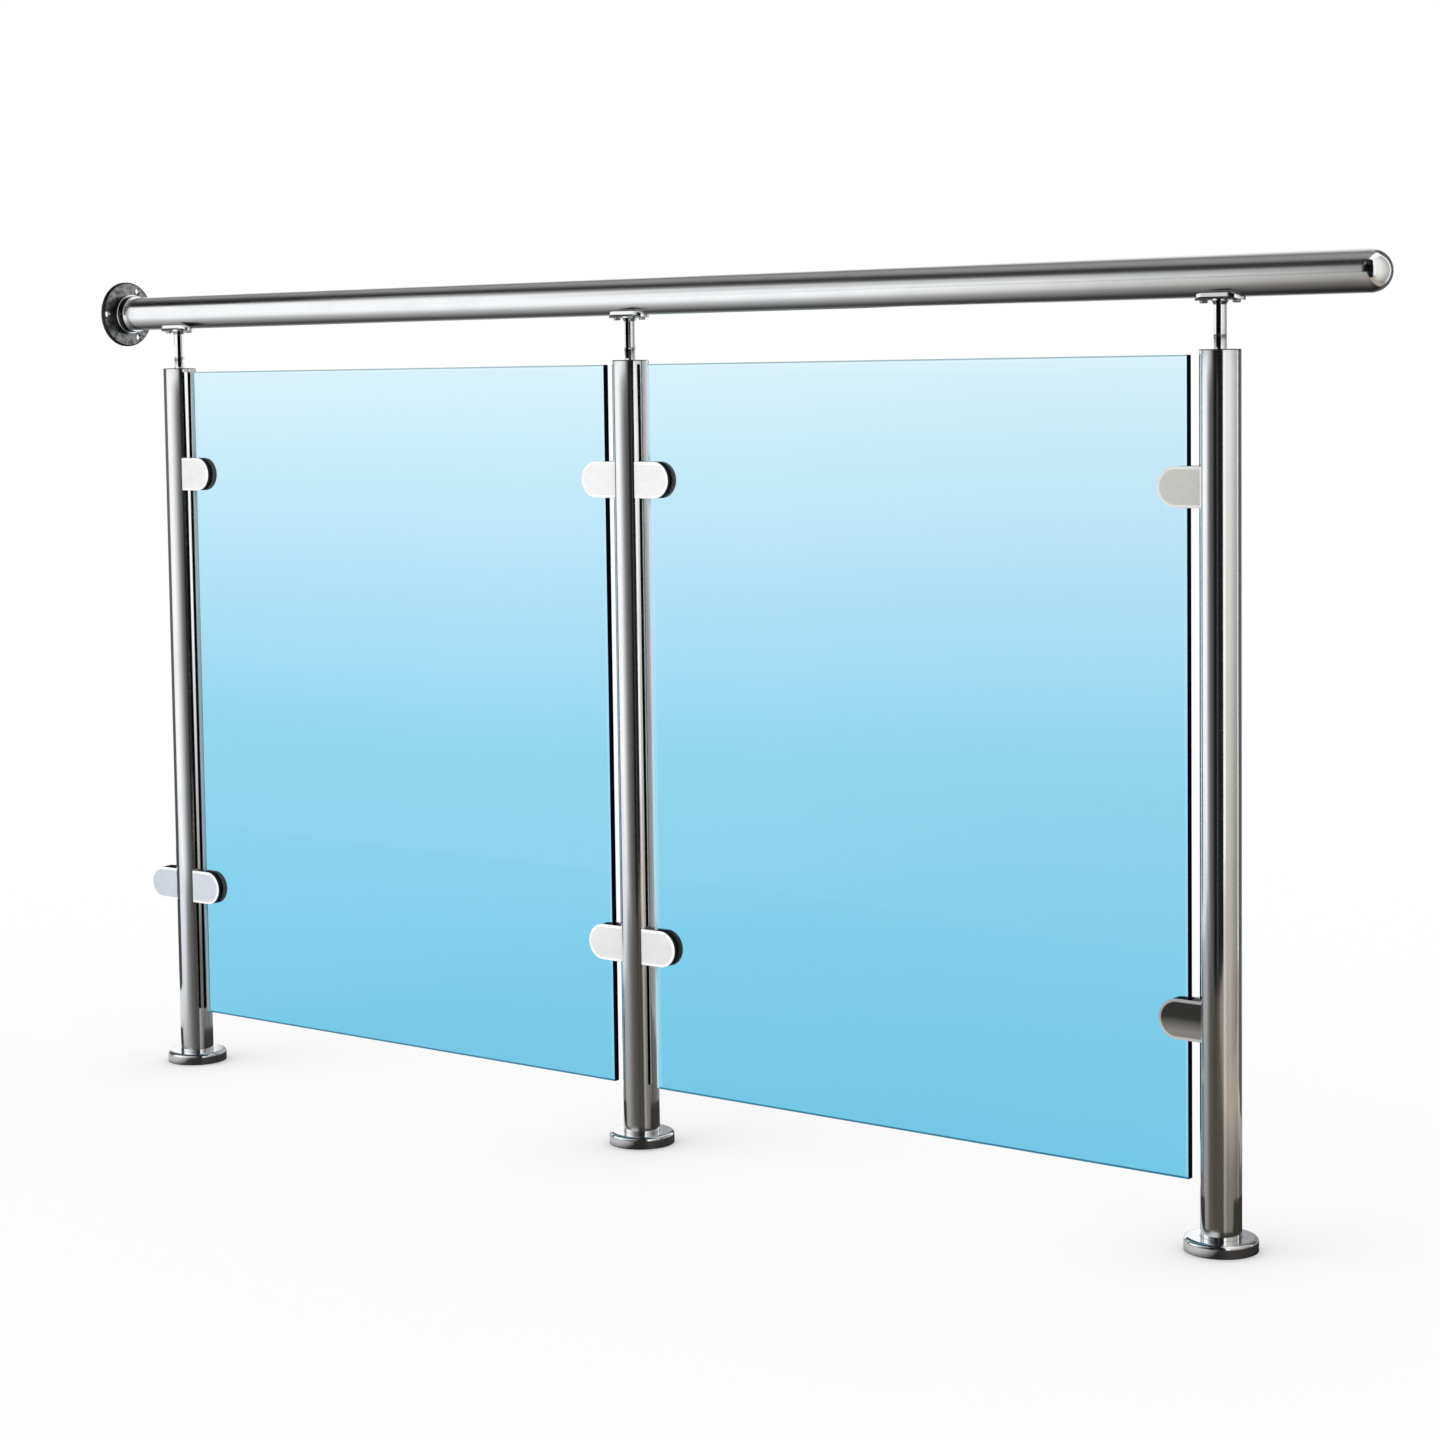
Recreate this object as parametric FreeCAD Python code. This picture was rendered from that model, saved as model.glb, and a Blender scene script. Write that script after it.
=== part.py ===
import FreeCAD, Part
import math
import os

os.makedirs("parts", exist_ok=True)
Vector = FreeCAD.Vector
along_x = Vector(1, 0, 0)
along_y = Vector(0, 1, 0)
along_z = Vector(0, 0, 1)

# Frame: X runs along the handrail away from the wall, +Y away from the viewer, Z up.
# The origin is on the floor, at the middle post's axis.

# Round tube of the posts and the handrail
tube_diameter = 42.4
tube_wall = 2.0
post_spacing = 762.0
rail_height = 988.0
rail_overhang = 163.0
wall_distance = 102.0

# Wall flange
flange_diameter = 84.0
flange_thickness = 5.0
flange_edge_round = 1.5
flange_hole_diameter = 8.4
flange_hole_from_edge = 7.0
flange_hole_count = 3
collar_wall = 4.6
collar_length = 8.0
inner_collar_wall = 2.6
inner_collar_length = 9.0
collar_edge_round = 0.8
rail_socket_floor = 3.0

# Post foot
plate_thickness = 6.0
anchor_from_plate_edge = 7.0
anchor_count = 4
anchor_hole_diameter = 6.6
cover_diameter = 76.0
cover_height = 15.0
cover_wall = 1.2
cover_shoulder = 4.5

# Post plug, stem and saddle
plug_rim = 2.5
plug_rim_round = 1.0
plug_depth = 25.0
stem_height = 51.3
stem_diameter = 13.0
stem_socket_depth = 14.0
stem_collar_diameter = 17.5
stem_collar_height = 4.0
saddle_length = 54.0
saddle_width = 26.0
saddle_thickness = 3.0
saddle_screw_spacing = 37.0
saddle_screw_diameter = 4.8
saddle_screw_head_diameter = 8.4
saddle_screw_head_height = 2.4
saddle_screw_length = 12.0
saddle_screw_socket = 3.0
saddle_screw_socket_depth = 1.5

# Glass panes
glass_thickness = 8.0
glass_front = -10.0
glass_bottom = 70.5
glass_below_post_top = 5.0
glass_edge_to_post_axis = 31.4
glass_arris = 0.8
glass_hole_diameter = 12.0

# Clamps
clamp_height = 42.0
clamp_reach = 43.0
clamp_below_glass_top = 132.5
clamp_above_glass_bottom = 165.5
clamp_cover_thickness = 2.0
clamp_body_thickness = 3.2
clamp_edge_round = 0.8
clamp_root_gap = 0.9
clamp_root_height = 40.0
clamp_boss_diameter = 11.0
clamp_boss_length = 7.0
front_gasket_thickness = 2.6
back_gasket_thickness = 4.0
gasket_inset = 0.2
clamp_screw_diameter = 6.0
clamp_screw_head_diameter = 11.4
clamp_screw_head_height = 2.7
clamp_screw_from_tip = 17.0
clamp_screw_skin = 1.2
clamp_screw_socket = 4.0
clamp_screw_socket_depth = 2.4
post_screw_diameter = 5.0
post_screw_head_diameter = 9.2
post_screw_head_height = 2.1
post_screw_length = 16.0

# Clearances
slip_clearance = 0.1
hole_clearance = 0.3
cover_clearance = 0.4
plate_clearance = 1.8

# Sizes that follow
tube_radius = tube_diameter / 2
bore_radius = tube_radius - tube_wall
flange_hole_circle = flange_diameter - 2 * flange_hole_from_edge
plate_diameter = cover_diameter - 2 * (cover_wall + plate_clearance)
anchor_circle = plate_diameter - 2 * anchor_from_plate_edge
post_places = {"left": -post_spacing, "middle": 0.0, "right": post_spacing}
wall_face = post_places["left"] - wall_distance
rail_start = wall_face + rail_socket_floor
rail_end = post_places["right"] + rail_overhang
saddle_radius = tube_radius + saddle_thickness
post_top = rail_height - tube_radius - stem_height
glass_top = post_top - glass_below_post_top
glass_back = glass_front + glass_thickness
glass_middle = (glass_front + glass_back) / 2
slot_front = glass_front - front_gasket_thickness
slot_back = glass_back + back_gasket_thickness
clamp_front = slot_front - clamp_cover_thickness
clamp_back = slot_back + clamp_body_thickness
clamp_upper_height = glass_top - clamp_below_glass_top
clamp_lower_height = glass_bottom + clamp_above_glass_bottom
clamp_tip = tube_radius + clamp_reach
clamp_half = clamp_height / 2
clamp_root = glass_edge_to_post_axis - clamp_root_gap
clamp_screw_place = clamp_tip - clamp_screw_from_tip

# Each clamp: post, level, and the side of the post that it stands on
clamps = [
    ("left", "upper", "right"),
    ("left", "lower", "right"),
    ("left", "lower", "left"),
    ("middle", "upper", "left"),
    ("middle", "upper", "right"),
    ("middle", "lower", "left"),
    ("middle", "lower", "right"),
    ("right", "upper", "left"),
    ("right", "lower", "left"),
]
clamp_levels = {"upper": clamp_upper_height, "lower": clamp_lower_height}


def rod(radius, length, start, direction):
    return Part.makeCylinder(radius, length, start, direction)


def pipe(outer, inner, length, start, direction):
    return rod(outer, length, start, direction).cut(rod(inner, length, start, direction))


def on_circle(circle, count, first_angle):
    step = 2 * math.pi / count
    angles = [first_angle + step * index for index in range(count)]
    return [(circle / 2 * math.cos(angle), circle / 2 * math.sin(angle)) for angle in angles]


def hex_socket(across_flats, depth, start, direction):
    corners = [Vector(x, y, 0) for x, y in on_circle(2 * across_flats / math.sqrt(3), 6, 0)]
    prism = Part.Face(Part.makePolygon(corners + corners[:1])).extrude(along_z * depth)
    prism.Placement = FreeCAD.Placement(start, FreeCAD.Rotation(along_z, direction))
    return prism


def edges_at(shape, direction, place, radius):
    found = []
    for edge in shape.Edges:
        curve = edge.Curve
        if isinstance(curve, Part.Circle) and abs(curve.Radius - radius) < 1e-6:
            if abs(curve.Center.dot(direction) - place) < 1e-6:
                found.append(edge)
    return found


def save(name, shape):
    shape.exportStep("parts/" + name + ".step")


def save_group(name, solids):
    save(name, Part.makeCompound(solids))


# Post foot: welded base plate with anchor holes, and slip-on cover
def base_plate():
    plate = rod(plate_diameter / 2, plate_thickness, Vector(0, 0, 0), along_z)
    for x, y in on_circle(anchor_circle, anchor_count, math.pi / anchor_count):
        plate = plate.cut(rod(anchor_hole_diameter / 2, plate_thickness, Vector(x, y, 0), along_z))
    return plate


def base_cover():
    outer = cover_diameter / 2
    hole = tube_radius + cover_clearance
    shell = rod(outer, cover_height, Vector(0, 0, 0), along_z)
    shell = shell.makeFillet(cover_shoulder, edges_at(shell, along_z, cover_height, outer))
    inside_height = cover_height - cover_wall
    inside = rod(outer - cover_wall, inside_height, Vector(0, 0, 0), along_z)
    inside_rims = edges_at(inside, along_z, inside_height, outer - cover_wall)
    inside = inside.makeFillet(cover_shoulder - cover_wall, inside_rims)
    return shell.cut(inside).cut(rod(hole, cover_height, Vector(0, 0, 0), along_z))


# Post: tube with the clamps' screw holes, top plug, stem and saddle
def post_tube(post):
    top = post_top - plug_rim
    tube = pipe(tube_radius, bore_radius, top - plate_thickness, Vector(0, 0, plate_thickness), along_z)
    for name, level, side in clamps:
        if name == post:
            outward = along_x if side == "right" else -along_x
            start = Vector(0, glass_middle, clamp_levels[level])
            tube = tube.cut(rod(post_screw_diameter / 2, tube_radius, start, outward))
    return tube


def post_plug():
    rim_foot = post_top - plug_rim
    rim = rod(tube_radius, plug_rim, Vector(0, 0, rim_foot), along_z)
    rim = rim.makeFillet(plug_rim_round, edges_at(rim, along_z, post_top, tube_radius))
    spigot = rod(bore_radius - slip_clearance, plug_depth, Vector(0, 0, rim_foot - plug_depth), along_z)
    socket_foot = Vector(0, 0, post_top - stem_socket_depth)
    socket = rod(stem_diameter / 2, stem_socket_depth, socket_foot, along_z)
    return rim.fuse(spigot).cut(socket)


def stem():
    foot = post_top - stem_socket_depth
    top = rail_height - tube_radius
    collar_foot = rail_height - saddle_radius - stem_collar_height
    shank = rod(stem_diameter / 2, top - foot, Vector(0, 0, foot), along_z)
    collar = Part.makeCone(stem_diameter / 2, stem_collar_diameter / 2, stem_collar_height,
                           Vector(0, 0, collar_foot), along_z)
    crown_foot = Vector(0, 0, collar_foot + stem_collar_height)
    crown = rod(stem_collar_diameter / 2, saddle_thickness, crown_foot, along_z)
    seat = rod(saddle_radius, saddle_length, Vector(-saddle_length / 2, 0, rail_height), along_x)
    return shank.fuse([collar, crown]).cut(seat).removeSplitter()


def saddle_screw_places():
    return (-saddle_screw_spacing / 2, saddle_screw_spacing / 2)


def saddle():
    start = Vector(-saddle_length / 2, 0, rail_height)
    strip = pipe(saddle_radius, tube_radius, saddle_length, start, along_x)
    straight = saddle_length - saddle_width
    floor = rail_height - saddle_radius - saddle_thickness
    outline = Part.makeBox(straight, saddle_width, saddle_radius, Vector(-straight / 2, -saddle_width / 2, floor))
    for x in (-straight / 2, straight / 2):
        outline = outline.fuse(rod(saddle_width / 2, saddle_radius, Vector(x, 0, floor), along_z))
    plate = strip.common(outline)
    for x in saddle_screw_places():
        hole_radius = saddle_screw_diameter / 2 + hole_clearance
        plate = plate.cut(rod(hole_radius, saddle_radius, Vector(x, 0, floor), along_z))
    return plate


def saddle_screw():
    head_top = rail_height - saddle_radius
    head_foot = Vector(0, 0, head_top - saddle_screw_head_height)
    head = rod(saddle_screw_head_diameter / 2, saddle_screw_head_height, head_foot, along_z)
    rims = edges_at(head, along_z, head_foot.z, saddle_screw_head_diameter / 2)
    head = head.makeFillet(saddle_screw_head_height / 2, rims)
    head = head.cut(hex_socket(saddle_screw_socket, saddle_screw_socket_depth, head_foot, along_z))
    return head.fuse(rod(saddle_screw_diameter / 2, saddle_screw_length, Vector(0, 0, head_top), along_z))


# Handrail: tube, domed end cap and wall flange
def handrail_tube():
    tube = pipe(tube_radius, bore_radius, rail_end - rail_start, Vector(rail_start, 0, rail_height), along_x)
    for post_x in post_places.values():
        for x in saddle_screw_places():
            start = Vector(post_x + x, 0, rail_height - tube_radius)
            tube = tube.cut(rod(saddle_screw_diameter / 2, tube_radius, start, along_z))
    return tube


def handrail_end_cap():
    centre = Vector(rail_end, 0, rail_height)
    ball = Part.makeSphere(tube_radius, centre, along_x)
    dome = ball.common(rod(tube_diameter, tube_radius, centre, along_x))
    spigot_start = Vector(rail_end - plug_depth, 0, rail_height)
    return dome.fuse(rod(bore_radius - slip_clearance, plug_depth, spigot_start, along_x))


def flange_collar(radius, length, start):
    collar = rod(radius, length, start, along_x)
    return collar.makeFillet(collar_edge_round, edges_at(collar, along_x, start.x + length, radius))


def wall_flange():
    axis_start = Vector(wall_face, 0, rail_height)
    face = wall_face + flange_thickness
    disc = rod(flange_diameter / 2, flange_thickness, axis_start, along_x)
    disc = disc.makeFillet(flange_edge_round, edges_at(disc, along_x, face, flange_diameter / 2))
    full_length = flange_thickness + collar_length + inner_collar_length
    collar = flange_collar(tube_radius + collar_wall, flange_thickness + collar_length, axis_start)
    inner_collar = flange_collar(tube_radius + inner_collar_wall, full_length, axis_start)
    socket = rod(tube_radius, full_length, Vector(rail_start, 0, rail_height), along_x)
    flange = disc.fuse([collar, inner_collar]).cut(socket)
    for y, z in on_circle(flange_hole_circle, flange_hole_count, math.pi):
        hole_start = Vector(wall_face, y, rail_height + z)
        flange = flange.cut(rod(flange_hole_diameter / 2, flange_thickness, hole_start, along_x))
    return flange


# Glass pane between two posts, drilled where the clamps' screws pass
def glass_panel(left_post, right_post):
    start = post_places[left_post] + glass_edge_to_post_axis
    width = post_places[right_post] - glass_edge_to_post_axis - start
    corner = Vector(start, glass_front, glass_bottom)
    pane = Part.makeBox(width, glass_thickness, glass_top - glass_bottom, corner)
    pane = pane.makeChamfer(glass_arris, pane.Edges)
    for post, level, side in clamps:
        if (post, side) in ((left_post, "right"), (right_post, "left")):
            outward = 1 if side == "right" else -1
            place = Vector(post_places[post] + outward * clamp_screw_place, glass_front, clamp_levels[level])
            pane = pane.cut(rod(glass_hole_diameter / 2, glass_thickness, place, along_y))
    return pane


# Clamp pieces, drawn on the +X side of a post whose axis is X = Y = 0, at height 0
def clamp_slab(start_x, inset, front, back):
    half = clamp_half - inset
    round_x = clamp_tip - clamp_half
    foot_start = Vector(start_x, front, -half)
    foot_end = Vector(round_x, front, -half)
    tip = Vector(round_x + half, front, 0)
    head_end = Vector(round_x, front, half)
    head_start = Vector(start_x, front, half)
    outline = Part.Wire([
        Part.makeLine(foot_start, foot_end),
        Part.Arc(foot_end, tip, head_end).toShape(),
        Part.makeLine(head_end, head_start),
        Part.makeLine(head_start, foot_start),
    ])
    return Part.Face(outline).extrude(Vector(0, back - front, 0))


def tube_round():
    return rod(tube_radius, clamp_height, Vector(0, 0, -clamp_half), along_z)


def countersink(head_radius, shank_radius, head_height, start, direction):
    return Part.makeCone(head_radius, shank_radius, head_height, start, direction)


def clamp_screw_blank():
    shank_radius = clamp_screw_diameter / 2
    start = Vector(clamp_screw_place, clamp_back, 0)
    head = countersink(clamp_screw_head_diameter / 2, shank_radius, clamp_screw_head_height, start, -along_y)
    return head.fuse(rod(shank_radius, clamp_back - clamp_front - clamp_screw_skin, start, -along_y))


def clamp_screw():
    start = Vector(clamp_screw_place, clamp_back, 0)
    return clamp_screw_blank().cut(hex_socket(clamp_screw_socket, clamp_screw_socket_depth, start, -along_y))


def post_screw():
    shank_radius = post_screw_diameter / 2
    start = Vector(clamp_root, glass_middle, 0)
    head = countersink(post_screw_head_diameter / 2, shank_radius, post_screw_head_height, start, -along_x)
    return head.fuse(rod(shank_radius, post_screw_length, start, -along_x))


def rounded_outline(slab, face):
    rims = [edge for edge in slab.Edges if all(abs(v.Y - face) < 1e-6 for v in edge.Vertexes)]
    return slab.makeFillet(clamp_edge_round, [edge for edge in rims if edge.BoundBox.XMax > tube_radius])


def clamp_body():
    jaw = rounded_outline(clamp_slab(0, 0, slot_back, clamp_back), clamp_back)
    root_corner = Vector(0, slot_front, -clamp_root_height / 2)
    root = Part.makeBox(clamp_root, slot_back - slot_front, clamp_root_height, root_corner)
    body = jaw.fuse(root).cut(tube_round())
    return body.cut(clamp_screw_blank()).cut(post_screw())


def clamp_cover():
    plate = rounded_outline(clamp_slab(0, 0, clamp_front, slot_front), clamp_front).cut(tube_round())
    boss = rod(clamp_boss_diameter / 2, clamp_boss_length, Vector(clamp_screw_place, slot_front, 0), along_y)
    return plate.fuse(boss).cut(clamp_screw_blank())


def clamp_gasket(front, back, passes):
    pad = clamp_slab(glass_edge_to_post_axis, gasket_inset, front, back)
    hole_start = Vector(clamp_screw_place, front, 0)
    return pad.cut(rod(passes / 2 + hole_clearance, back - front, hole_start, along_y))


def placed_clamp_piece(shape, post, level, side):
    piece = shape if side == "right" else shape.mirror(Vector(0, 0, 0), along_x)
    return piece.translated(Vector(post_places[post], 0, clamp_levels[level]))


# Posts
saddle_screws = []
for post, post_x in post_places.items():
    shift = Vector(post_x, 0, 0)
    pieces = {
        "base_plate": base_plate(),
        "base_cover": base_cover(),
        "post_tube": post_tube(post),
        "post_plug": post_plug(),
        "stem": stem(),
        "saddle": saddle(),
    }
    for name, shape in pieces.items():
        save(post + "_" + name, shape.translated(shift))
    for x in saddle_screw_places():
        saddle_screws.append(saddle_screw().translated(shift + Vector(x, 0, 0)))
save_group("saddle_screws", saddle_screws)

# Handrail
save("handrail_tube", handrail_tube())
save("handrail_end_cap", handrail_end_cap())
save("wall_flange", wall_flange())

# Glass
save("left_glass_panel", glass_panel("left", "middle"))
save("right_glass_panel", glass_panel("middle", "right"))

# Clamps
clamp_screws = []
post_screws = []
for post, level, side in clamps:
    place = (post, level, side)
    name = post + "_post_" + level + "_" + side + "_clamp"
    save(name + "_body", placed_clamp_piece(clamp_body(), *place))
    save(name + "_cover", placed_clamp_piece(clamp_cover(), *place))
    front_pad = clamp_gasket(slot_front, glass_front, clamp_boss_diameter)
    back_pad = clamp_gasket(glass_back, slot_back, clamp_screw_diameter)
    save_group(name + "_gaskets", [placed_clamp_piece(pad, *place) for pad in (front_pad, back_pad)])
    clamp_screws.append(placed_clamp_piece(clamp_screw(), *place))
    post_screws.append(placed_clamp_piece(post_screw(), *place))
save_group("clamp_screws", clamp_screws)
save_group("clamp_post_screws", post_screws)
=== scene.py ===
import bpy
import math
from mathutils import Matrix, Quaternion, Vector


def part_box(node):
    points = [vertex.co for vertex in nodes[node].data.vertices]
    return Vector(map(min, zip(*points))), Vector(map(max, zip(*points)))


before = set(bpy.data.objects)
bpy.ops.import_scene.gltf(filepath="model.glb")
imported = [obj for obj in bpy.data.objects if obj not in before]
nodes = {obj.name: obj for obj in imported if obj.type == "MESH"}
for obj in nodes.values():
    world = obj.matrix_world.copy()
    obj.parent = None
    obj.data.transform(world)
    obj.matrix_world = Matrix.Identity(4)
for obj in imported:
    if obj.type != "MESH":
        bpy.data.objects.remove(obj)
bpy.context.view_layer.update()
posts = ("left", "middle", "right")
print("frame loaded:", len(nodes), "nodes")


# Shader tools
class Socket:
    def __init__(self, finish, link):
        self.finish = finish
        self.link = link

    def out(self, name):  # another output of the same node
        return Socket(self.finish, self.link.node.outputs[name])

    def maths(self, operation, a, b=0.0, clamp=False):
        return self.finish.node("ShaderNodeMath", {"operation": operation, "use_clamp": clamp}, {0: a, 1: b})

    def __add__(self, other):
        return self.maths("ADD", self, other)

    def __radd__(self, other):
        return self.maths("ADD", other, self)

    def __sub__(self, other):
        return self.maths("SUBTRACT", self, other)

    def __rsub__(self, other):
        return self.maths("SUBTRACT", other, self)

    def __mul__(self, other):
        return self.maths("MULTIPLY", self, other)

    def __rmul__(self, other):
        return self.maths("MULTIPLY", other, self)

    def __truediv__(self, other):
        return self.maths("DIVIDE", self, other)

    def __rtruediv__(self, other):
        return self.maths("DIVIDE", other, self)

    def absolute(self):
        return self.maths("ABSOLUTE", self)

    def root(self):
        return self.maths("SQRT", self)

    def atLeast(self, value):
        return self.maths("MAXIMUM", self, value)

    def clamped(self):
        return self.maths("ADD", self, 0.0, clamp=True)

    def above(self, edge, soft):  # 0 below edge, 1 above edge + soft
        return ((self - edge) / soft).clamped()

    def below(self, edge, soft):  # 1 below edge - soft, 0 above edge
        return ((edge - self) / soft).clamped()


class Finish:
    def __init__(self, name, tree=None):
        if tree is None:
            self.material = bpy.data.materials.new(name)
            self.material.use_nodes = True
            tree = self.material.node_tree
        self.tree = tree
        self.tree.nodes.clear()

    def node(self, kind, settings=None, sockets=None, out=0):
        made = self.tree.nodes.new(kind)
        for name, value in (settings or {}).items():
            if name == "stops":
                self.setStops(made.color_ramp, value)
            else:
                setattr(made, name, value)
        for name, value in (sockets or {}).items():
            if isinstance(value, Socket):
                self.tree.links.new(value.link, made.inputs[name])
            else:
                made.inputs[name].default_value = value
        return Socket(self, made.outputs[out]) if made.outputs else None

    def setStops(self, ramp, stops):
        while len(ramp.elements) < len(stops):
            ramp.elements.new(1.0)
        for element, (place, colour) in zip(ramp.elements, stops):
            element.position = place
            element.color = rgba(colour)

    def place(self):  # metres, in the railing's own frame
        return self.node("ShaderNodeTexCoord", out="Object")

    def coordinate(self, axis):
        return self.node("ShaderNodeSeparateXYZ", {}, {"Vector": self.place()}).out(axis)

    def stretched(self, scale):
        return self.node("ShaderNodeMapping", {}, {"Vector": self.place(), "Scale": scale})

    def noise(self, where, look):  # look holds the noise's own sockets
        return self.node("ShaderNodeTexNoise", {}, {"Vector": where, **look})

    def mixed(self, factor, a, b, blend="MIX"):
        settings = {"data_type": "RGBA", "blend_type": blend}
        return self.node("ShaderNodeMix", settings, {0: factor, 6: a, 7: b}, out=2)

    def ramp(self, value, stops):
        return self.node("ShaderNodeValToRGB", {"stops": stops}, {"Fac": value})

    def along(self, start, end):  # 0 at start, 1 at end, on the line between them
        line = Vector(end) - Vector(start)
        step = line / line.length_squared
        sockets = {0: self.place(), 1: step}
        run = self.node("ShaderNodeVectorMath", {"operation": "DOT_PRODUCT"}, sockets, out="Value")
        return (run - step.dot(Vector(start))).clamped()

    def fromAxis(self, centre, keep):  # distance from an axis; keep is 0 along the axis
        away = self.node("ShaderNodeVectorMath", {"operation": "SUBTRACT"}, {0: self.place(), 1: centre})
        flat = self.node("ShaderNodeVectorMath", {"operation": "MULTIPLY"}, {0: away, 1: keep})
        return self.node("ShaderNodeVectorMath", {"operation": "LENGTH"}, {0: flat}, out="Value")

    def facing(self, axis):  # 1 where the surface faces along the axis, 0 where it runs along it
        normal = self.node("ShaderNodeTexCoord", out="Normal")
        return self.node("ShaderNodeSeparateXYZ", {}, {"Vector": normal}).out(axis).absolute()

    def bump(self, height, strength, distance):
        sockets = {"Strength": strength, "Distance": distance, "Height": height}
        return self.node("ShaderNodeBump", {}, sockets)

    def principled(self, sockets):
        return self.node("ShaderNodeBsdfPrincipled", {}, sockets)

    def done(self, shader):
        self.node("ShaderNodeOutputMaterial", {}, {"Surface": shader})
        return self.material


def grey(value):
    return (value, value, value)


def rgba(colour):
    return (*colour, 1.0)


def dress(names, material):
    for name in names:
        slots = nodes[name].data.materials
        slots.clear()
        slots.append(material)


# Polished steel: buffing lines run along the piece, with faint wipe marks over them
steel = {
    "bright": (0.945, 0.955, 0.965),
    "dull": (0.85, 0.865, 0.885),
    "roughness": 0.06,
    "railRoughness": 0.15,
    "lines": {"Scale": 1.0, "Detail": 2.0},
    "lineScale": 900.0,  # across the lines
    "alongScale": 6.0,
    "lineDull": 0.3,
    "lineRoughness": 0.05,
    "railAxis": 0,  # the lines run along X on the handrail, and along Z on posts and stems
    "postAxis": 2,
    "wipes": {"Scale": 14.0, "Detail": 4.0, "Roughness": 0.6},
    "wipeEdge": (0.45, 0.25),  # where the marks start, and over how much
    "wipeDull": 0.5,
    "wipeRoughness": 0.05,
    "bump": 0.04,
    "bumpDepth": 0.0002,
}


def polishedSteel(name, axis, roughness):  # no axis where the piece is turned
    finish = Finish(name)
    scale = [steel["lineScale"]] * 3
    if axis is not None:
        scale[axis] = steel["alongScale"]
    lines = finish.noise(finish.stretched(scale), steel["lines"])
    wiped = finish.noise(finish.place(), steel["wipes"]).above(*steel["wipeEdge"])
    dulled = wiped * steel["wipeDull"] + lines * steel["lineDull"]
    return finish.done(finish.principled({
        "Base Color": finish.mixed(dulled, rgba(steel["bright"]), rgba(steel["dull"])),
        "Metallic": 1.0,
        "Roughness": roughness + lines * steel["lineRoughness"] + wiped * steel["wipeRoughness"],
        "Normal": finish.bump(lines, steel["bump"], steel["bumpDepth"]),
    }))


dress(["handrail_tube"], polishedSteel("polishedRail", steel["railAxis"], steel["railRoughness"]))
for piece, finishName in (("_post_tube", "polishedPost"), ("_stem", "polishedStem")):
    dress([post + piece for post in posts], polishedSteel(finishName, steel["postAxis"], steel["roughness"]))
turnedPieces = [post + piece for post in posts for piece in ("_base_cover", "_post_plug", "_saddle")]
dress(turnedPieces + ["handrail_end_cap"], polishedSteel("polishedTurned", None, steel["roughness"]))
print("polished steel done")


# Wall flange: cast, with a mottled blasted face, a dark rim of painted dark reflection and a turned collar
# with painted dark reflection on its side walls
flange = {
    "light": (0.55, 0.555, 0.55),
    "dark": (0.085, 0.086, 0.088),
    "roughness": 0.22,
    "mottle": {"Scale": 150.0, "Detail": 5.0, "Roughness": 0.65},
    "mottleEdge": (0.36, 0.40),
    "mottleRoughness": 0.2,
    "bump": 0.15,
    "bumpDepth": 0.0004,
    # painted dark reflection on the outer rim
    "rim": (0.030, 0.030, 0.032),
    "rimReflectionEdge": (0.0400, 0.0005),  # from the axis, and over how much
    "collar": (0.90, 0.905, 0.91),
    # painted dark reflection on the collar's side walls; its ends keep the bright steel colour
    "collarSideReflection": (0.05, 0.05, 0.055),
    "collarFacing": (0.15, 0.3),
    "collarEnd": 0.0262,  # from the axis
    "collarStart": 0.0020,  # above the wall face
    "collarSoft": 0.0003,
    "collarRoughness": 0.10,
}


def castFlange():
    low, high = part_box("wall_flange")
    finish = Finish("castFlange")
    radius = finish.fromAxis((low + high) / 2, (0, 1, 1))
    pastWall = finish.coordinate("X").above(low.x + flange["collarStart"], flange["collarSoft"])
    collar = radius.below(flange["collarEnd"], flange["collarSoft"]) * pastWall
    blasted = 1.0 - collar
    mottle = finish.noise(finish.place(), flange["mottle"])
    face = finish.mixed(mottle.above(*flange["mottleEdge"]), rgba(flange["dark"]), rgba(flange["light"]))
    # painted dark reflection along the rim
    edged = finish.mixed(radius.above(*flange["rimReflectionEdge"]), face, rgba(flange["rim"]))
    # painted dark reflection on the collar's side walls, by which way they face
    ends = finish.facing("X").above(*flange["collarFacing"])
    turned = finish.mixed(ends, rgba(flange["collarSideReflection"]), rgba(flange["collar"]))
    rough = flange["roughness"] + mottle * flange["mottleRoughness"]
    return finish.done(finish.principled({
        "Base Color": finish.mixed(collar, edged, turned),
        "Metallic": 1.0,
        "Roughness": rough * blasted + collar * flange["collarRoughness"],
        "Normal": finish.bump(mottle * blasted, flange["bump"], flange["bumpDepth"]),
    }))


dress(["wall_flange"], castFlange())
print("wall flange done")
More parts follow.
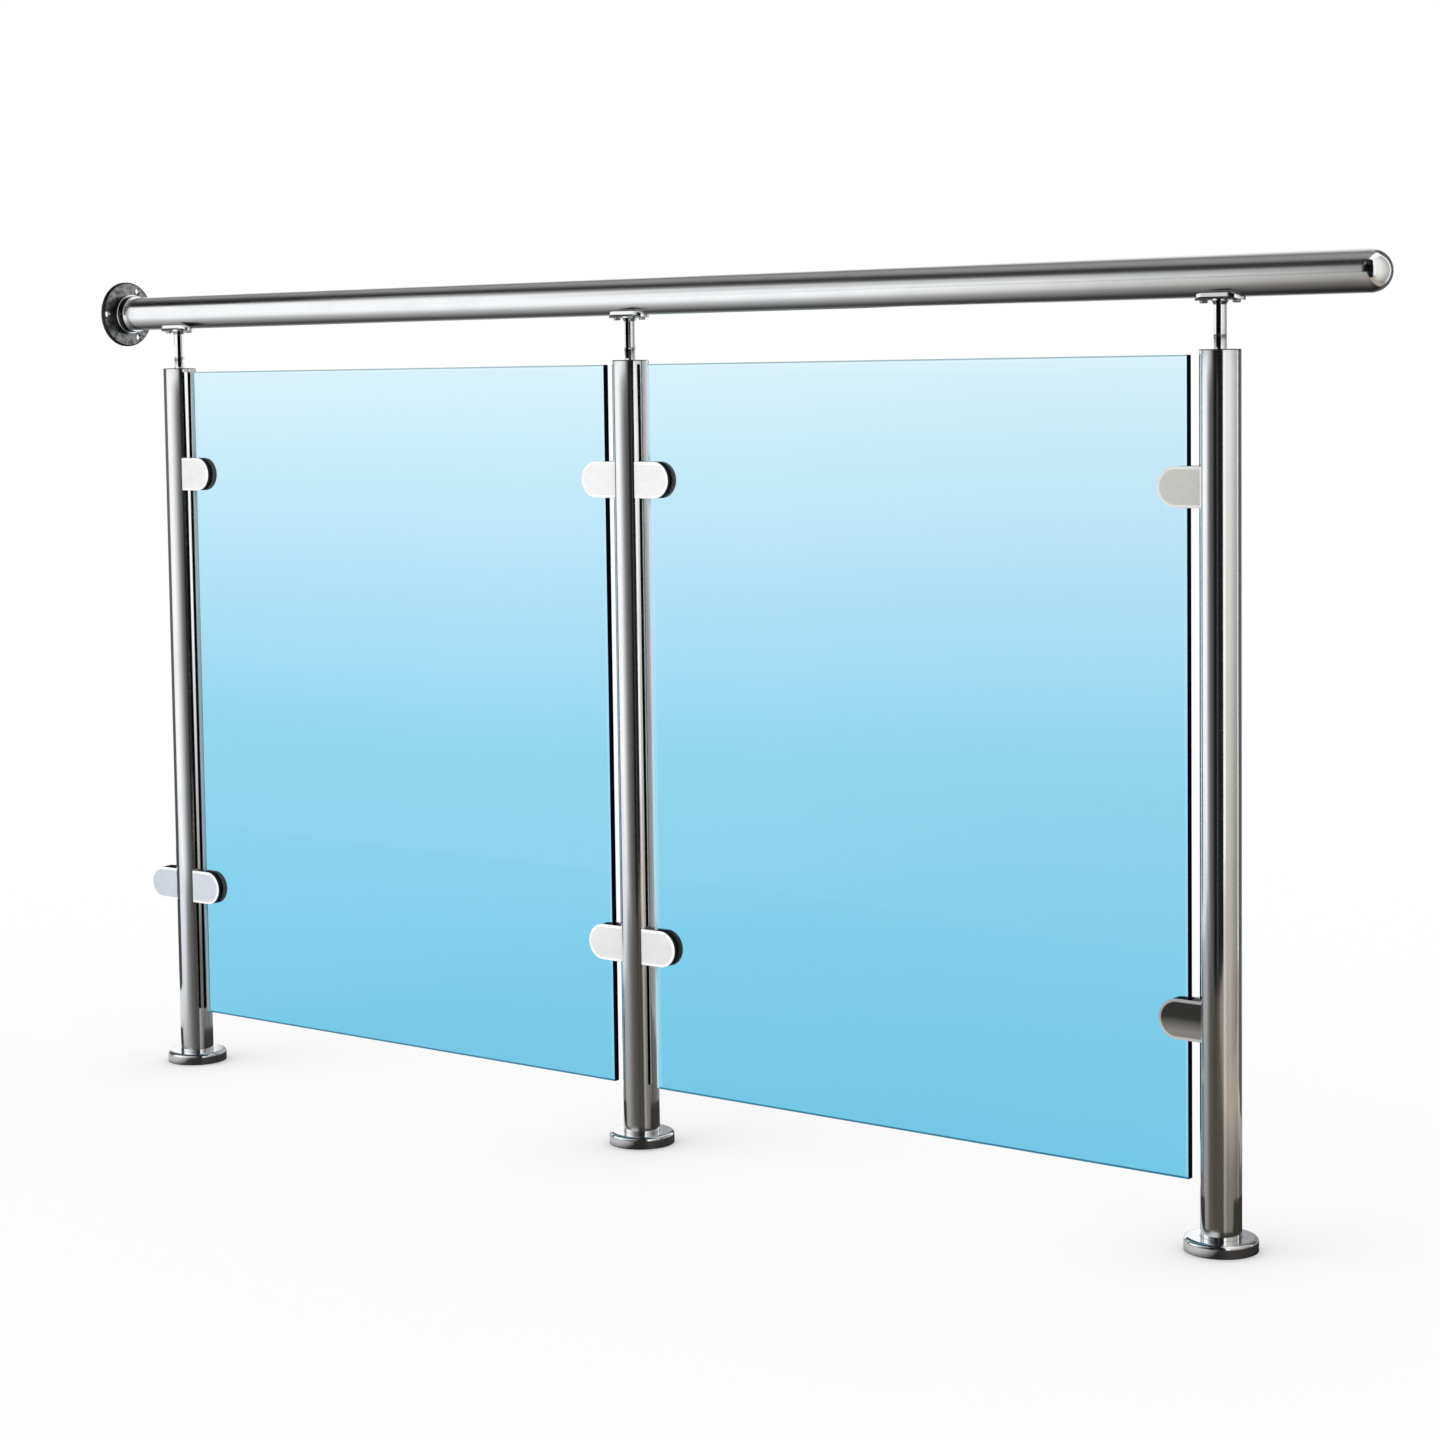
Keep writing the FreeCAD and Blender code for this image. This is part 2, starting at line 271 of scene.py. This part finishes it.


# Clamps: satin blasted steel, with dark side walls as painted shade, a bright rim round each cover's face as
# a painted highlight, and painted reflection tints on some faces
satin = {
    "bright": (0.965, 0.965, 0.965),
    "dull": (0.915, 0.915, 0.915),
    # painted shade: the near-black colour of the side walls
    "side": (0.020, 0.021, 0.023),
    "sideShadeFacing": (0.40, 0.25),
    # painted light and shade: the same clamps get a different share of metal at each post, to come out
    # lighter or darker
    "metal": {"left": 1.0, "middle": 0.3, "right": 0.5},
    "shine": 0.2,
    "roughness": 0.22,
    "grain": {"Scale": 2400.0, "Detail": 2.0},
    "grainRoughness": 0.1,
    "patches": {"Scale": 120.0, "Detail": 3.0},
    "patchEdge": (0.35, 0.3),
    "bump": 0.06,
    "bumpDepth": 0.0002,
    # painted highlight: the white rim round each cover's face, its width, softness and strength at each post
    "rim": (1.0, 1.0, 1.0),
    "highlightWidth": 0.0036,
    "highlightSoft": 0.0010,
    "highlightStrength": {"left": 1.0, "middle": 1.0, "right": 0.45},
    "reflectionTints": {  # painted reflection: tints at the foot and the head of some faces, standing in for what those faces reflect
        "left_post_lower": ((0.88, 0.91, 0.96), (0.88, 0.91, 0.96)),
        "right_post_upper": ((0.93, 0.93, 0.88), (0.93, 0.93, 0.88)),
        "right_post_lower": ((0.42, 0.41, 0.375), (0.060, 0.059, 0.056)),
    },
    "reflectionTintEdge": (0.22, 0.33),  # share of the height where the head's tint starts, and over how much
}


def coverRim(finish, cover):  # painted highlight: 1 along the face's outline, 0 inside it
    low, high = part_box(cover)
    half = (high.z - low.z) / 2
    x = finish.coordinate("X")
    past = x - (high.x - half) if "_right_clamp" in cover else low.x + half - x
    past = past.atLeast(0.0)
    up = finish.coordinate("Z") - (low.z + half)
    return (past * past + up * up).root().above(half - satin["highlightWidth"], satin["highlightSoft"])


def coverFace(finish, cover, face):
    low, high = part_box(cover)
    # paints the reflection tints onto some faces
    for start, (foot, head) in satin["reflectionTints"].items():
        if cover.startswith(start):
            up = finish.along((0, 0, low.z), (0, 0, high.z)).above(*satin["reflectionTintEdge"])
            face = finish.mixed(1.0, face, finish.mixed(up, rgba(foot), rgba(head)), "MULTIPLY")
    return face


def satinSteel(name, post, cover=None):
    finish = Finish(name)
    metal = satin["metal"][post]
    grain = finish.noise(finish.place(), satin["grain"])
    patches = finish.noise(finish.place(), satin["patches"])
    face = finish.mixed(patches.above(*satin["patchEdge"]), rgba(satin["dull"]), rgba(satin["bright"]))
    if cover:
        # painted highlight along the face's outline, where the metal share drops
        rim = coverRim(finish, cover) * satin["highlightStrength"][post]
        face = finish.mixed(rim, coverFace(finish, cover, face), rgba(satin["rim"]))
        metal = metal * (1.0 - rim)
    # painted shade on the walls that don't face along Y
    wall = finish.facing("Y").below(*satin["sideShadeFacing"])
    return finish.done(finish.principled({
        "Base Color": finish.mixed(wall, face, rgba(satin["side"])),
        "Metallic": metal,
        "Specular IOR Level": satin["shine"],
        "Roughness": satin["roughness"] + grain * satin["grainRoughness"],
        "Normal": finish.bump(grain, satin["bump"], satin["bumpDepth"]),
    }))


clampPieces = [name for name in nodes if "_clamp_" in name]
for post in posts:
    pieces = [name for name in clampPieces if name.startswith(post)]
    dress([name for name in pieces if name.endswith("_body")], satinSteel(post + "Satin", post))
    for cover in [name for name in pieces if name.endswith("_cover")]:
        dress([cover], satinSteel(cover + "Satin", post, cover))
print("clamps done:", len(clampPieces), "pieces")


# Gaskets, plates and screws
rubber = {
    "base": (0.006, 0.006, 0.007),
    "worn": (0.016, 0.016, 0.017),
    "shine": 0.12,
    "roughness": 0.55,
    "dust": {"Scale": 900.0, "Detail": 3.0},
    "dustRoughness": 0.2,
    "bump": 0.2,
    "bumpDepth": 0.0002,
}
mill = {
    "light": (0.62, 0.62, 0.61),
    "dark": (0.42, 0.41, 0.40),
    "roughness": 0.38,
    "marks": {"Scale": 300.0, "Detail": 4.0, "Roughness": 0.6},
    "markRoughness": 0.2,
    "bump": 0.1,
    "bumpDepth": 0.0003,
}
screw = {
    "light": (0.66, 0.66, 0.67),
    "dark": (0.45, 0.45, 0.46),
    "roughness": 0.22,
    "marks": {"Scale": 700.0, "Detail": 4.0, "Roughness": 0.6},
    "markRoughness": 0.2,
    "bump": 0.1,
    "bumpDepth": 0.0003,
}


def gasketRubber():
    finish = Finish("gasketRubber")
    dust = finish.noise(finish.place(), rubber["dust"])
    return finish.done(finish.principled({
        "Base Color": finish.mixed(dust, rgba(rubber["base"]), rgba(rubber["worn"])),
        "Roughness": rubber["roughness"] + dust * rubber["dustRoughness"],
        "Specular IOR Level": rubber["shine"],
        "Normal": finish.bump(dust, rubber["bump"], rubber["bumpDepth"]),
    }))


def plainSteel(name, look):
    finish = Finish(name)
    marks = finish.noise(finish.place(), look["marks"])
    return finish.done(finish.principled({
        "Base Color": finish.mixed(marks, rgba(look["dark"]), rgba(look["light"])),
        "Metallic": 1.0,
        "Roughness": look["roughness"] + marks * look["markRoughness"],
        "Normal": finish.bump(marks, look["bump"], look["bumpDepth"]),
    }))


dress([name for name in clampPieces if name.endswith("_gaskets")], gasketRubber())
dress([post + "_base_plate" for post in posts], plainSteel("millPlate", mill))
dress(["saddle_screws", "clamp_screws", "clamp_post_screws"], plainSteel("screwSteel", screw))
print("gaskets, plates and screws done")


# Glass: blue tint that deepens towards the bottom, with ground edges in painted light and shade, and a
# painted highlight strip inside them
glass = {
    "stops": [  # from the bottom edge to the top edge
        (0.00, (0.185, 0.615, 0.855)),
        (0.22, (0.212, 0.632, 0.862)),
        (0.46, (0.270, 0.660, 0.870)),
        (0.72, (0.440, 0.770, 0.940)),
        (1.00, (0.680, 0.890, 0.985)),
    ],
    "wave": {"Scale": 3.0, "Detail": 2.0},  # wavers the tint's height a little
    "waveMiddle": 0.5,
    "waveReach": 0.03,
    "ior": 1.45,
    "shine": 0.12,
    "rim": (0.80, 0.965, 1.0),  # painted highlight: lighter strip inside the edges
    "highlightWidth": 0.0042,
    "highlightSoft": 0.0008,
    "highlightStrength": 0.38,
    # painted light and shade on the ground edges: near black on the right edge, dark at the bottom, lighter
    # at the top, and a different tone on each pane's left edge
    "rightEdgeShade": (0.002, 0.004, 0.010),
    "paintedLeftEdge": {"left": (0.38, 0.48, 0.52), "right": (0.66, 0.86, 0.93)},
    "topEdgeLight": (0.36, 0.50, 0.55),
    "bottomEdgeShade": (0.05, 0.24, 0.33),
    "edge": 0.0009,
    "topBand": 0.0016,
    "edgeSoft": 0.0001,
    "edgeRoughness": 0.35,
    "grind": {"Scale": 1200.0, "Detail": 3.0},
    "grindRoughness": 0.15,
}


def tintedGlass(name, paintedLeftEdge):
    low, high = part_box(name)
    finish = Finish(name + "Glass")
    x = finish.coordinate("X")
    z = finish.coordinate("Z")
    height = (z - low.z) / (high.z - low.z)
    wave = (finish.noise(finish.place(), glass["wave"]) - glass["waveMiddle"]) * glass["waveReach"]
    tint = finish.ramp((height + wave).clamped(), glass["stops"])
    # painted highlight strip inside the side and top edges
    inner = glass["highlightWidth"]
    soft = glass["highlightSoft"]
    highlightSides = x.below(low.x + inner, soft) + x.above(high.x - inner, soft)
    rim = (highlightSides + z.above(high.z - inner, soft)).clamped()
    pane = finish.principled({
        "Base Color": finish.mixed(rim * glass["highlightStrength"], tint, rgba(glass["rim"])),
        "Roughness": 0.0,
        "IOR": glass["ior"],
        "Specular IOR Level": glass["shine"],
        "Transmission Weight": 1.0,
    })
    # painted light and shade on the ground edges
    soft = glass["edgeSoft"]
    right = x.above(high.x - glass["edge"], soft)
    side = (right + x.below(low.x + glass["edge"], soft)).clamped()
    top = z.above(high.z - glass["topBand"], soft)
    ends = (top + z.below(low.z + glass["edge"], soft)).clamped()
    grind = finish.noise(finish.place(), glass["grind"])
    endColour = finish.mixed(top, rgba(glass["bottomEdgeShade"]), rgba(glass["topEdgeLight"]))
    sideColour = finish.mixed(right, rgba(paintedLeftEdge), rgba(glass["rightEdgeShade"]))
    groundEdgeShading = finish.principled({
        "Base Color": finish.mixed(side, endColour, sideColour),
        "Roughness": glass["edgeRoughness"] + grind * glass["grindRoughness"],
        "Specular IOR Level": 0.0,
    })
    mask = (side + ends).clamped()
    return finish.done(finish.node("ShaderNodeMixShader", {}, {0: mask, 1: pane, 2: groundEdgeShading}))


for side, paintedLeftEdge in glass["paintedLeftEdge"].items():
    pane = nodes[side + "_glass_panel"]
    dress([pane.name], tintedGlass(pane.name, paintedLeftEdge))
    pane.visible_shadow = False  # light passes the panes
    pane.visible_diffuse = False
print("glass done")


# Floor and light: white all round, with boards that show only in reflections
def flatSheet(name, corners):
    mesh = bpy.data.meshes.new(name)
    mesh.from_pydata(corners, [], [tuple(range(len(corners)))])
    made = bpy.data.objects.new(name, mesh)
    bpy.context.scene.collection.objects.link(made)
    return made


def mirrorOnly(made):  # seen in reflections, and by nothing else
    for ray in ("camera", "diffuse", "transmission", "volume_scatter", "shadow"):
        setattr(made, "visible_" + ray, False)


floor = {"reach": 300.0, "colour": (0.915, 0.915, 0.915), "roughness": 0.9, "shine": 0.0}


def paleFloor():
    reach = floor["reach"]
    corners = [(-reach, -reach, 0), (reach, -reach, 0), (reach, reach, 0), (-reach, reach, 0)]
    made = flatSheet("floor", corners)
    finish = Finish("paleFloor")
    made.data.materials.append(finish.done(finish.principled({
        "Base Color": rgba(floor["colour"]),
        "Roughness": floor["roughness"],
        "Specular IOR Level": floor["shine"],
    })))


reflectedFloorShade = {  # painted reflection of a dark floor and of the shade under the railing: dark polished sheet, paler at its ends, seen only in reflections
    "corners": [(-2.8, 1.1), (-2.8, -1.5), (2.8, -1.5), (2.8, 1.1)],
    "lift": 0.001,
    "from": (-1.6, 0, 0),
    "to": (1.5, 0, 0),
    "stops": [
        (0.00, (0.66, 0.70, 0.77)), (0.18, (0.52, 0.53, 0.55)), (0.225, (0.32, 0.32, 0.32)),
        (0.25, (0.15, 0.15, 0.15)), (0.30, (0.09, 0.09, 0.088)), (0.42, (0.10, 0.094, 0.086)),
        (0.58, (0.080, 0.070, 0.058)), (0.72, (0.085, 0.073, 0.058)), (0.81, (0.098, 0.084, 0.066)),
        (0.87, (0.140, 0.122, 0.100)), (0.95, (0.40, 0.335, 0.28)),
    ],
    "roughness": 0.18,
}


def floorMat():
    made = flatSheet("floorMat", [(x, y, reflectedFloorShade["lift"]) for x, y in reflectedFloorShade["corners"]])
    mirrorOnly(made)
    finish = Finish("floorMat")
    made.data.materials.append(finish.done(finish.principled({
        "Base Color": finish.ramp(finish.along(reflectedFloorShade["from"], reflectedFloorShade["to"]), reflectedFloorShade["stops"]),
        "Roughness": reflectedFloorShade["roughness"],
    })))


footShade = {  # painted contact shadow seen only in reflections: dark sheet round each foot, wider behind it, with a pale stretch on one side
    "front": 0.10,
    "back": 0.22,
    "wide": (0.05, 3.60),  # turns from +X, in radians, between which the back reach holds
    "sides": 48,
    "lift": 0.0015,
    "pale": (-0.8, -0.6, 0),  # way to its pale side
    "paleReach": 0.16,
    "stops": [
        (0.00, (0.030, 0.027, 0.024)), (0.11, (0.030, 0.027, 0.024)), (0.30, grey(0.55)), (0.48, grey(0.55)),
        (0.58, (0.030, 0.027, 0.024)),
    ],
    "roughness": 0.6,
    "shine": 0.1,
}


def footFelts():
    first, last = footShade["wide"]
    for post in posts:
        low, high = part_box(post + "_base_cover")
        centre = Vector(((low.x + high.x) / 2, (low.y + high.y) / 2, footShade["lift"]))
        rim = []
        for step in range(footShade["sides"]):
            turn = 2 * math.pi * step / footShade["sides"]
            reach = footShade["back"] if first < turn < last else footShade["front"]
            rim.append(centre + reach * Vector((math.cos(turn), math.sin(turn), 0)))
        made = flatSheet(post + "FootFelt", rim)
        mirrorOnly(made)
        finish = Finish(post + "FootFelt")
        across = finish.along(centre, centre + footShade["paleReach"] * Vector(footShade["pale"]))
        made.data.materials.append(finish.done(finish.principled({
            "Base Color": finish.ramp(across, footShade["stops"]),
            "Roughness": footShade["roughness"],
            "Specular IOR Level": footShade["shine"],
        })))


frontLine = {"from": (-1.45, -1.56, 0), "to": (1.83, -1.14, 0)}
standing = {  # standing boards: (x, y) where they start and end, and their heights, in metres
    "frontBoard": {
        **frontLine,
        "heights": (0.002, 0.90),
        "stops": [
            (0.00, grey(0.96)), (0.06, grey(0.87)), (0.17, grey(0.70)), (0.21, grey(0.57)),
            (0.265, grey(0.45)), (0.335, grey(0.29)), (0.43, grey(0.15)), (0.52, grey(0.10)),
            (0.585, grey(0.07)), (0.625, grey(0.03)), (0.67, grey(0.006)), (0.71, grey(0.01)),
            (0.75, grey(0.06)), (0.785, grey(0.03)), (0.825, grey(0.012)), (0.92, grey(0.012)),
            (0.985, grey(0.004)), (1.00, grey(0.15)),
        ],
    },
    "upperBoard": {
        **frontLine,
        "heights": (0.90, 1.75),
        "stops": [
            (0.00, grey(1.00)), (0.19, grey(1.00)), (0.32, grey(0.92)), (0.41, grey(0.74)),
            (0.49, grey(0.57)), (0.55, grey(0.26)), (0.63, grey(0.03)), (0.72, grey(0.006)),
            (0.985, grey(0.004)), (1.00, grey(0.15)),
        ],
        "shade": ((0, 0, 1.05), (0, 0, 1.75), grey(0.48)),
    },
    "tallBoard": {
        "from": (0.55, -1.304, 0),
        "to": frontLine["to"],
        "heights": (1.75, 3.2),
        "stops": [(0.00, grey(0.30)), (0.25, grey(0.03)), (1.00, grey(0.01))],
    },
    "sideBoard": {
        "from": (1.60, -0.56, 0),
        "to": (1.60, 0.75, 0),
        "heights": (0.002, 2.4),
        "stops": [
            (0.00, (0.90, 0.885, 0.84)), (0.33, (0.86, 0.84, 0.80)), (0.48, (0.70, 0.69, 0.66)),
            (0.65, (0.57, 0.56, 0.54)), (0.88, (0.46, 0.455, 0.44)),
        ],
        "shade": ((0, 0, 0.90), (0, 0, 0.05), (0.48, 0.45, 0.41)),
    },
    "backBoard": {
        "from": (0.80, 0.45, 0),
        "to": (1.20, 0.45, 0),
        "heights": (0.03, 1.7),
        "stops": [(0.00, grey(0.08)), (1.00, grey(0.12))],
    },
    "leftBackBoard": {
        "from": (-1.50, 0.50, 0),
        "to": (-0.02, 0.50, 0),
        "heights": (0.01, 0.92),
        "stops": [
            (0.00, grey(0.20)), (0.32, grey(0.20)), (0.385, grey(0.48)), (0.60, grey(0.42)),
            (0.697, grey(0.40)), (0.732, (0.23, 0.39, 0.47)), (0.816, (0.16, 0.275, 0.337)),
            (0.917, (0.063, 0.124, 0.159)), (1.00, (0.04, 0.08, 0.10)),
        ],
    },
    "middleBackBoard": {
        "from": (0.79, 0.46, 0),
        "to": (0.13, 0.60, 0),
        "heights": (0.01, 1.2),
        "stops": [
            (0.00, grey(0.36)), (0.24, grey(0.42)), (0.45, grey(0.44)), (0.63, grey(0.54)),
            (0.81, grey(0.62)), (1.00, grey(0.72)),
        ],
        "shade": ((0, 0, 0.80), (0, 0, 0.43), grey(0.62)),
    },
    "endBoard": {
        "from": (-1.10, -0.20, 0),
        "to": (-1.10, 0.14, 0),
        "heights": (0.03, 0.92),
        "stops": [(0.00, grey(0.15)), (1.00, grey(0.13))],
        "shade": ((0, 0, 0.70), (0, 0, 0.10), grey(0.5)),
    },
}
sheetCorners = [(-1.40, -0.50), (0.95, -0.50), (0.95, 0.06), (-1.40, 0.06)]
lying = {  # flat boards: (x, y) of their corners and their height
    "roofFront": {
        "corners": [(-4.05, -0.75), (1.05, -5.85), (1.05, -0.75)],
        "height": 2.28,
        "from": (-2.40, -2.40, 0),
        "to": (-0.35, -0.35, 0),
        "stops": [
            (0.00, grey(0.95)), (0.25, grey(0.67)), (0.48, grey(0.27)), (0.585, grey(0.115)),
            (0.68, grey(0.06)), (0.78, grey(0.035)), (1.00, grey(0.03)),
        ],
    },
    "roofBack": {
        "corners": [(-4.05, -0.75), (1.05, -0.75), (1.05, 2.0), (-4.05, 2.0)],
        "height": 2.28,
        "from": (-0.363, -1.21, 0),  # the dark line runs a little forward towards the right
        "to": (0.441, 1.472, 0),
        "stops": [
            (0.00, grey(0.003)), (0.06, grey(0.02)), (0.14, grey(0.035)), (0.193, grey(0.065)),
            (0.233, grey(0.09)), (0.28, grey(0.156)), (0.327, grey(0.22)), (0.38, grey(0.27)),
            (0.487, grey(0.29)), (0.573, grey(0.27)), (0.613, grey(0.22)), (0.667, grey(0.16)),
            (0.74, grey(0.30)), (1.00, grey(0.72)),
        ],
    },
    "roofLeft": {
        "corners": [(-3.20, -1.22), (-2.08, -1.22), (-1.90, -0.45), (-3.20, -0.45)],
        "height": 2.27,
        "from": (0, -1.22, 0),
        "to": (0, -0.45, 0),
        "stops": [(0.00, grey(0.16)), (0.30, grey(0.05)), (0.60, grey(0.004)), (1.00, grey(0.004))],
    },
    "underSheet": {  # hides the sheet above it from the pieces below
        "corners": sheetCorners,
        "height": 0.928,
        "from": (-1.40, 0, 0),
        "to": (0.95, 0, 0),
        "stops": [(0.00, grey(0.03)), (1.00, grey(0.012))],
    },
    "railSheet": {
        "corners": sheetCorners,
        "height": 0.93,
        "from": (0, -0.12, 0),
        "to": (0, 0.06, 0),
        "stops": [
            (0.00, grey(1.00)), (0.23, grey(0.88)), (0.36, grey(0.60)), (0.46, grey(0.40)),
            (0.54, grey(0.28)), (0.62, grey(0.13)), (0.72, grey(0.045)), (0.85, grey(0.12)),
            (1.00, grey(0.40)),
        ],
        "shade": ((0.20, 0, 0), (0.88, 0, 0), (0.36, 0.345, 0.32)),
    },
}


def studioBoard(name, corners, board):
    made = flatSheet(name, corners)
    mirrorOnly(made)
    finish = Finish(name)
    glow = finish.ramp(finish.along(board["from"], board["to"]), board["stops"])
    if "shade" in board:  # darkens a second way across
        start, end, colour = board["shade"]
        glow = finish.mixed(finish.along(start, end), glow, rgba(colour), "MULTIPLY")
    shader = finish.node("ShaderNodeEmission", {}, {"Color": glow, "Strength": 1.0})
    made.data.materials.append(finish.done(shader))
    finish.material.cycles.emission_sampling = "NONE"


def upright(ends, low, high):  # corners of a standing sheet
    return [(x, y, low) for x, y in ends] + [(x, y, high) for x, y in reversed(ends)]


def studioBoards():
    for name, board in standing.items():
        ends = board["from"][:2], board["to"][:2]
        studioBoard(name, upright(ends, *board["heights"]), board)
    for name, board in lying.items():
        studioBoard(name, [(x, y, board["height"]) for x, y in board["corners"]], board)


stemCard = {  # small dark card before each stem, turned from the front towards the right, in degrees
    "turns": {"left": 48.0, "middle": -15.0, "right": -4.0},
    "away": 0.020,
    "half": 0.0125,
    "gap": 0.002,
    "stops": [(0.00, grey(0.003)), (1.00, grey(0.003))],
}


def stemCards():
    for post, degrees in stemCard["turns"].items():
        low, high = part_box(post + "_stem")
        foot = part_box(post + "_post_plug")[1].z + stemCard["gap"]
        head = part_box(post + "_saddle")[0].z - stemCard["gap"]
        turn = math.radians(degrees)
        middle = (low + high) / 2 + stemCard["away"] * Vector((math.sin(turn), -math.cos(turn), 0))
        across = stemCard["half"] * Vector((math.cos(turn), math.sin(turn), 0))
        ends = middle - across, middle + across
        board = {"from": ends[0], "to": ends[1], "stops": stemCard["stops"]}
        studioBoard(post + "StemCard", upright([end.xy for end in ends], foot, head), board)


paneCard = {  # strip beside each pane's left edge, with where it starts and ends along Y
    "posts": {"left": "left", "right": "middle"},
    "reach": {"left": (-0.0175, 0.0055), "right": (-0.0125, -0.0042)},
    "gap": 0.0004,
    "stops": {
        "left": [
            (0.00, grey(0.003)), (0.24, grey(0.003)), (0.28, grey(1.00)), (0.60, grey(1.00)),
            (0.65, grey(0.003)), (1.00, grey(0.003)),
        ],
        "right": [(0.00, grey(0.003)), (1.00, grey(0.003))],
    },
    "shade": ((0, 0, 0.60), (0, 0, 0.15), grey(0.15)),
}


def paneCards():  # three strips to a pane, below, between and above its clamps
    for side, post in paneCard["posts"].items():
        low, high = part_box(side + "_glass_panel")
        x = low.x - paneCard["gap"]
        ends = [(x, y) for y in paneCard["reach"][side]]
        heights = [low.z]
        for level in ("lower", "upper"):
            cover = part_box(post + "_post_" + level + "_right_clamp_cover")
            heights += [cover[0].z, cover[1].z]
        heights.append(high.z)
        for number, (foot, head) in enumerate(zip(heights[::2], heights[1::2])):
            corners = upright(ends, foot, head)
            board = {"from": corners[0], "to": corners[1], "stops": paneCard["stops"][side]}
            board["shade"] = paneCard["shade"]
            studioBoard(side + "PaneCard" + str(number), corners, board)


footCard = {  # small card behind each foot: white low down, dark higher up; X is from the foot's middle
    "left": -0.24,
    "right": -0.015,
    "back": 0.10,
    "heights": (0.020, 0.25),
    "stops": [(0.00, grey(1.00)), (0.20, grey(1.00)), (0.27, grey(0.02)), (1.00, grey(0.02))],
    "shade": ((-0.08, 0, 0), (-0.05, 0, 0), grey(0.35)),
}


def footCards():
    low, high = footCard["heights"]
    start, end, colour = footCard["shade"]
    for post in posts:
        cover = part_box(post + "_base_cover")
        middle = (cover[0].x + cover[1].x) / 2
        ends = [(middle + footCard[side], footCard["back"]) for side in ("left", "right")]
        shift = Vector((middle, 0, 0))
        studioBoard(post + "FootCard", upright(ends, low, high), {
            "from": (0, 0, low),
            "to": (0, 0, high),
            "stops": footCard["stops"],
            "shade": (Vector(start) + shift, Vector(end) + shift, colour),
        })


light = {
    "sky": (1.0, 1.0, 1.0),
    "skyStrength": 1.0,
    "sunStrength": 0.35,
    "sunSpread": 50.0,  # degrees
    "sunFrom": (-1.2, -1.0, 2.4),
}


def softLight():
    world = bpy.data.worlds.new("whiteStudio")
    world.use_nodes = True
    bpy.context.scene.world = world
    finish = Finish("whiteStudio", world.node_tree)
    sockets = {"Color": rgba(light["sky"]), "Strength": light["skyStrength"]}
    sky = finish.node("ShaderNodeBackground", {}, sockets)
    finish.node("ShaderNodeOutputWorld", {}, {"Surface": sky})
    lamp = bpy.data.lights.new("softSun", "SUN")
    lamp.energy = light["sunStrength"]
    lamp.angle = math.radians(light["sunSpread"])
    made = bpy.data.objects.new("softSun", lamp)
    made.rotation_mode = "QUATERNION"
    made.rotation_quaternion = Vector(light["sunFrom"]).to_track_quat("Z", "Y")
    made.visible_glossy = False
    bpy.context.scene.collection.objects.link(made)


paleFloor()
floorMat()
footFelts()
studioBoards()
stemCards()
paneCards()
footCards()
softLight()
bpy.context.scene.view_settings.view_transform = "Standard"
print("floor and light done")


# Camera
camera = {
    "place": (2.2197, -2.6948, 0.8927),
    "aim": (0.1263, 0.0, 0.6427),
    "roll": 0.761,  # degrees, leaning to its right
    "lens": 75.53,
    "sensor": 36.0,
    "shift": -0.0833,
}


def setCamera():
    data = bpy.data.cameras.new("camera")
    data.sensor_width = camera["sensor"]
    data.lens = camera["lens"]
    data.shift_y = camera["shift"]
    made = bpy.data.objects.new("camera", data)
    made.location = camera["place"]
    look = Vector(camera["aim"]) - Vector(camera["place"])
    turn = look.to_track_quat("-Z", "Y")
    made.rotation_mode = "QUATERNION"
    made.rotation_quaternion = turn @ Quaternion((0, 0, 1), -math.radians(camera["roll"]))
    bpy.context.scene.collection.objects.link(made)
    bpy.context.scene.camera = made


setCamera()
print("camera done")
